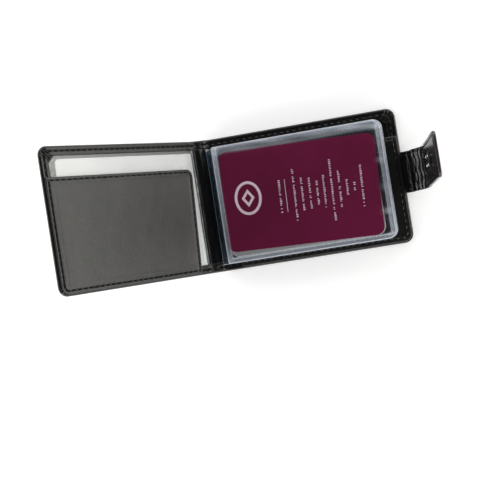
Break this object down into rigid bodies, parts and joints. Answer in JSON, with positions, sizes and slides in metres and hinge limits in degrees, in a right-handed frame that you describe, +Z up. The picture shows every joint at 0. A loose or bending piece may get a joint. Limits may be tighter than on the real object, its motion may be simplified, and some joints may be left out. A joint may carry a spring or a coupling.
{
  "type": "business card case",
  "caption": "Fold-over leather business card case with a clear pocket insert, a window pocket, turned and stitched edges, and a press-stud strap.",
  "frame": {"origin": "on the back cover's underside, on its centre line, 50 mm in from its free edge", "axes": "+X from the fold to the free edge and the strap, +Y to the case's top edge, +Z up from the table"},
  "size_m": [0.189, 0.0734, 0.0894],
  "materials": {
    "cover_leather": "smooth bonded leather, fine grain, satin",
    "lining_leather": "smooth leather, satin to gloss",
    "strap_leather": "glossy leather, creased",
    "board": "grey board",
    "thread": "twisted polyester thread",
    "clear_vinyl": "clear soft vinyl",
    "paper": "white card",
    "printed_card": "matt laminated card",
    "plain_card": "white card",
    "snap_metal": "nickel plated"
  },
  "bodies": {
    "back_cover": {"back_outer_leather": "cover_leather", "back_board": "board", "back_lining": "lining_leather", "back_edge_stitching": "thread", "back_pocket": "lining_leather", "back_pocket_stitching": "thread", "insert_tab": "clear_vinyl", "insert_hinge_strip": "clear_vinyl", "strap_anchor": "strap_leather"},
    "spine": {"spine_outer_leather": "cover_leather", "spine_stiffener": "board", "spine_lining": "lining_leather"},
    "front_cover": {"front_outer_leather": "cover_leather", "front_board": "board", "window_paper": "paper", "window_film": "clear_vinyl", "front_edge_stitching": "thread", "front_pocket": "lining_leather", "front_pocket_stitching": "thread", "snap_stud": "snap_metal", "snap_stud_rivet": "snap_metal"},
    "strap_wrap": {"strap_wrap_leather": "strap_leather", "strap_wrap_lining": "strap_leather"},
    "strap_tongue": {"strap_tongue_leather": "strap_leather", "strap_tongue_lining": "strap_leather", "strap_tongue_stitching": "thread", "snap_socket": "snap_metal", "snap_prong_ring": "snap_metal"},
    "leaf_5": {"sleeve_5": "clear_vinyl"},
    "loose_card_5": {"card_5": "plain_card"},
    "leaf_4": {"sleeve_4": "clear_vinyl"},
    "loose_card_4": {"card_4": "plain_card"},
    "leaf_3": {"sleeve_3": "clear_vinyl"},
    "loose_card_3": {"card_3": "plain_card"},
    "leaf_2": {"sleeve_2": "clear_vinyl"},
    "loose_card_2": {"card_2": "plain_card"},
    "leaf_1": {"sleeve_1": "clear_vinyl"},
    "loose_card_1": {"card_1": "printed_card"}
  },
  "joints": [
    {"name": "spine_fold", "type": "hinge", "parent": "back_cover", "child": "spine", "pos_m": [-0.0515, 0, 0.0019], "axis": [0, -1, 0], "range_deg": [-63, 27]},
    {"name": "cover_fold", "type": "hinge", "parent": "spine", "child": "front_cover", "pos_m": [-0.06166, 0, 0.00708], "axis": [0, -1, 0], "range_deg": [-63, 27]},
    {"name": "strap_fold", "type": "hinge", "parent": "back_cover", "child": "strap_wrap", "pos_m": [0.0514, 0, 0.00125], "axis": [0, 1, 0], "range_deg": [-36, 54]},
    {"name": "tongue_fold", "type": "hinge", "parent": "strap_wrap", "child": "strap_tongue", "pos_m": [0.06139, 0, 0.015], "axis": [0, 1, 0], "range_deg": [-58, 32]},
    {"name": "leaf_5_turn", "type": "hinge", "parent": "back_cover", "child": "leaf_5", "pos_m": [-0.05045, 0, 0.00387], "axis": [0, -1, 0], "range_deg": [0, 10]},
    {"name": "card_5_slide", "type": "slide", "parent": "leaf_5", "child": "loose_card_5", "axis": [0, 1, 0], "range_m": [0, 0.045]},
    {"name": "leaf_4_turn", "type": "hinge", "parent": "leaf_5", "child": "leaf_4", "pos_m": [-0.05045, 0, 0.00532], "axis": [0, -1, 0], "range_deg": [0, 12]},
    {"name": "card_4_slide", "type": "slide", "parent": "leaf_4", "child": "loose_card_4", "axis": [0, 1, 0], "range_m": [0, 0.045]},
    {"name": "leaf_3_turn", "type": "hinge", "parent": "leaf_4", "child": "leaf_3", "pos_m": [-0.05045, 0, 0.00677], "axis": [0, -1, 0], "range_deg": [0, 18]},
    {"name": "card_3_slide", "type": "slide", "parent": "leaf_3", "child": "loose_card_3", "axis": [0, 1, 0], "range_m": [0, 0.045]},
    {"name": "leaf_2_turn", "type": "hinge", "parent": "leaf_3", "child": "leaf_2", "pos_m": [-0.05045, 0, 0.00822], "axis": [0, -1, 0], "range_deg": [0, 25]},
    {"name": "card_2_slide", "type": "slide", "parent": "leaf_2", "child": "loose_card_2", "axis": [0, 1, 0], "range_m": [0, 0.045]},
    {"name": "leaf_1_turn", "type": "hinge", "parent": "leaf_2", "child": "leaf_1", "pos_m": [-0.05045, 0, 0.00967], "axis": [0, -1, 0], "range_deg": [0, 90]},
    {"name": "card_1_slide", "type": "slide", "parent": "leaf_1", "child": "loose_card_1", "axis": [0, 1, 0], "range_m": [0, 0.045]}
  ],
  "couplings": [
    {"joint": "cover_fold", "follows": "spine_fold", "ratio": 1}
  ]
}
